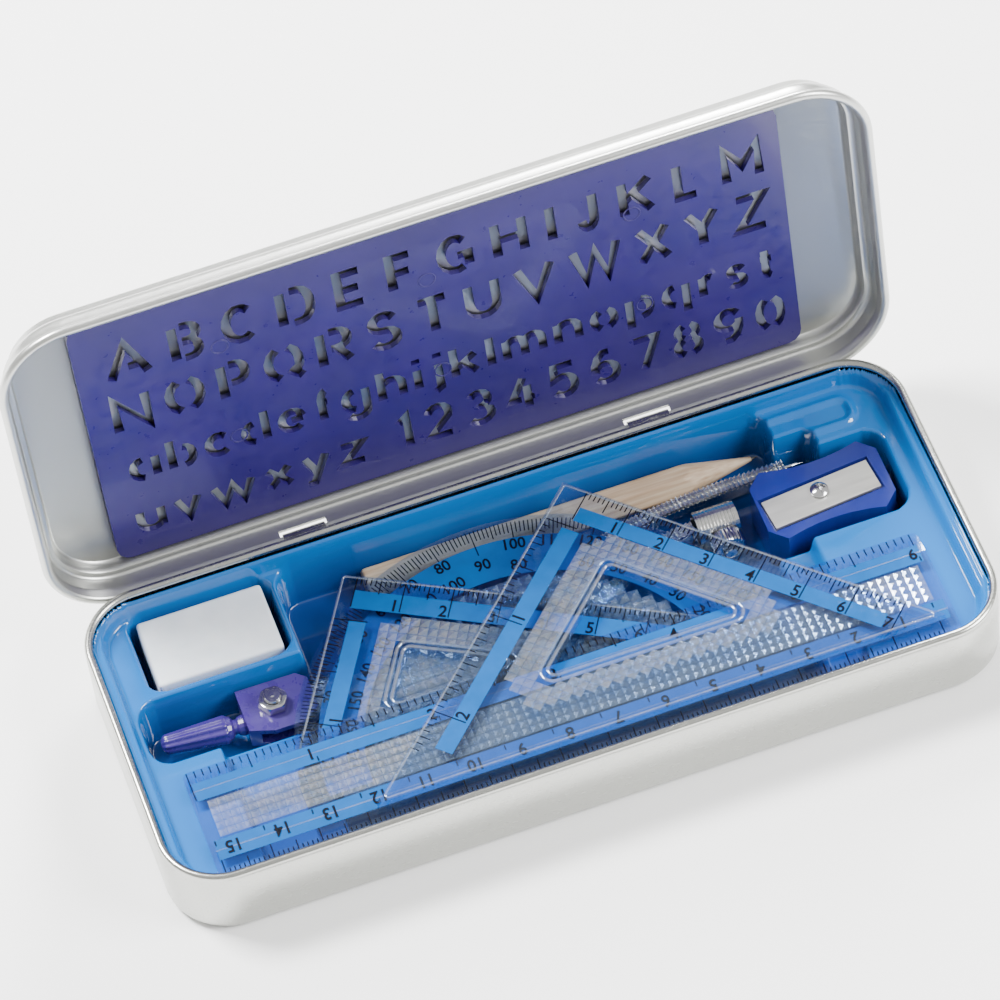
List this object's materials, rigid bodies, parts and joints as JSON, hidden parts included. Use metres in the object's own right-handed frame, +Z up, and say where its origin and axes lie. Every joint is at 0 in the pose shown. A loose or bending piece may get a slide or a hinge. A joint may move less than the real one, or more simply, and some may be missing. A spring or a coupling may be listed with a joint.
{
  "type": "school geometry set in a hinged tin",
  "caption": "Shallow hinged tin with a moulded tray holding a compass, pencil, sharpener, eraser, protractor, ruler and set squares, and a letter stencil in the lid.",
  "frame": {"origin": "middle of the tin base's underside, on the surface it stands on", "axes": "+X along the tin's length, +Y towards the hinged back edge, +Z up; the tin is stored open"},
  "size_m": [0.1808, 0.0916, 0.0919],
  "materials": {
    "tinplate": "satin tinplate",
    "tray_plastic": "glossy translucent blue",
    "stencil_plastic": "translucent blue-violet",
    "eraser_rubber": "soft white vinyl",
    "pencil_wood": "plain unpainted",
    "pencil_graphite": "dull graphite",
    "compass_plastic": "purple",
    "bright_steel": "bright plated",
    "pressed_steel": "pressed and plated",
    "blade_steel": "ground steel",
    "sharpener_plastic": "blue-violet",
    "clear_plastic": "clear with printed blue bands"
  },
  "bodies": {
    "tin": {"tin_base": "tinplate"},
    "lid": {"tin_lid": "tinplate"},
    "stencil": {"letter_stencil": "stencil_plastic"},
    "tray": {"tray_insert": "tray_plastic"},
    "eraser": {"eraser": "eraser_rubber"},
    "sharpener": {"sharpener_body": "sharpener_plastic", "sharpener_blade": "blade_steel", "sharpener_screw": "bright_steel"},
    "pencil": {"pencil_body": "pencil_wood", "pencil_lead": "pencil_graphite"},
    "compass": {"compass_head": "compass_plastic", "compass_bolt": "bright_steel", "compass_nut": "bright_steel", "compass_needle_leg": "pressed_steel", "compass_needle": "bright_steel"},
    "pencil_leg": {"compass_pencil_leg": "pressed_steel", "pencil_clamp": "pressed_steel"},
    "clamp_nut": {"clamp_nut": "bright_steel"},
    "protractor": {"protractor": "clear_plastic"},
    "set_square_60": {"set_square_60": "clear_plastic"},
    "ruler": {"ruler": "clear_plastic"},
    "set_square_45": {"set_square_45": "clear_plastic"}
  },
  "joints": [
    {"name": "lid_hinge", "type": "hinge", "parent": "tin", "child": "lid", "pos_m": [0, 0.0385, 0.0144], "axis": [-1, 0, 0], "range_deg": [-96.5, 0]},
    {"name": "stencil_slide", "type": "slide", "parent": "lid", "child": "stencil", "axis": [0, -0.9068, 0.4216], "range_m": [0, 0.16]},
    {"name": "tray_lift", "type": "slide", "parent": "tin", "child": "tray", "axis": [0, 0, 1], "range_m": [0, 0.04]},
    {"name": "eraser_lift", "type": "slide", "parent": "tray", "child": "eraser", "axis": [0, 0, 1], "range_m": [0, 0.03]},
    {"name": "sharpener_lift", "type": "slide", "parent": "tray", "child": "sharpener", "axis": [0, 0, 1], "range_m": [0, 0.03]},
    {"name": "pencil_lift", "type": "slide", "parent": "tray", "child": "pencil", "axis": [0, 0, 1], "range_m": [0, 0.03]},
    {"name": "compass_lift", "type": "slide", "parent": "pencil", "child": "compass", "axis": [0, 0, 1], "range_m": [0, 0.025]},
    {"name": "leg_swing", "type": "hinge", "parent": "compass", "child": "pencil_leg", "pos_m": [-0.055, 0.0056, 0.0055], "axis": [0, 0, -1], "range_deg": [0, 20]},
    {"name": "clamp_nut_turn", "type": "hinge", "parent": "pencil_leg", "child": "clamp_nut", "pos_m": [0.0432, 0.0105, 0.0054], "axis": [0, 1, 0], "continuous": true},
    {"name": "protractor_lift", "type": "slide", "parent": "compass", "child": "protractor", "axis": [0, 0, 1], "range_m": [0, 0.025]},
    {"name": "set_square_60_lift", "type": "slide", "parent": "protractor", "child": "set_square_60", "axis": [0, 0, 1], "range_m": [0, 0.02]},
    {"name": "ruler_lift", "type": "slide", "parent": "set_square_60", "child": "ruler", "axis": [0, 0, 1], "range_m": [0, 0.02]},
    {"name": "set_square_45_lift", "type": "slide", "parent": "ruler", "child": "set_square_45", "axis": [0, 0, 1], "range_m": [0, 0.02]}
  ]
}
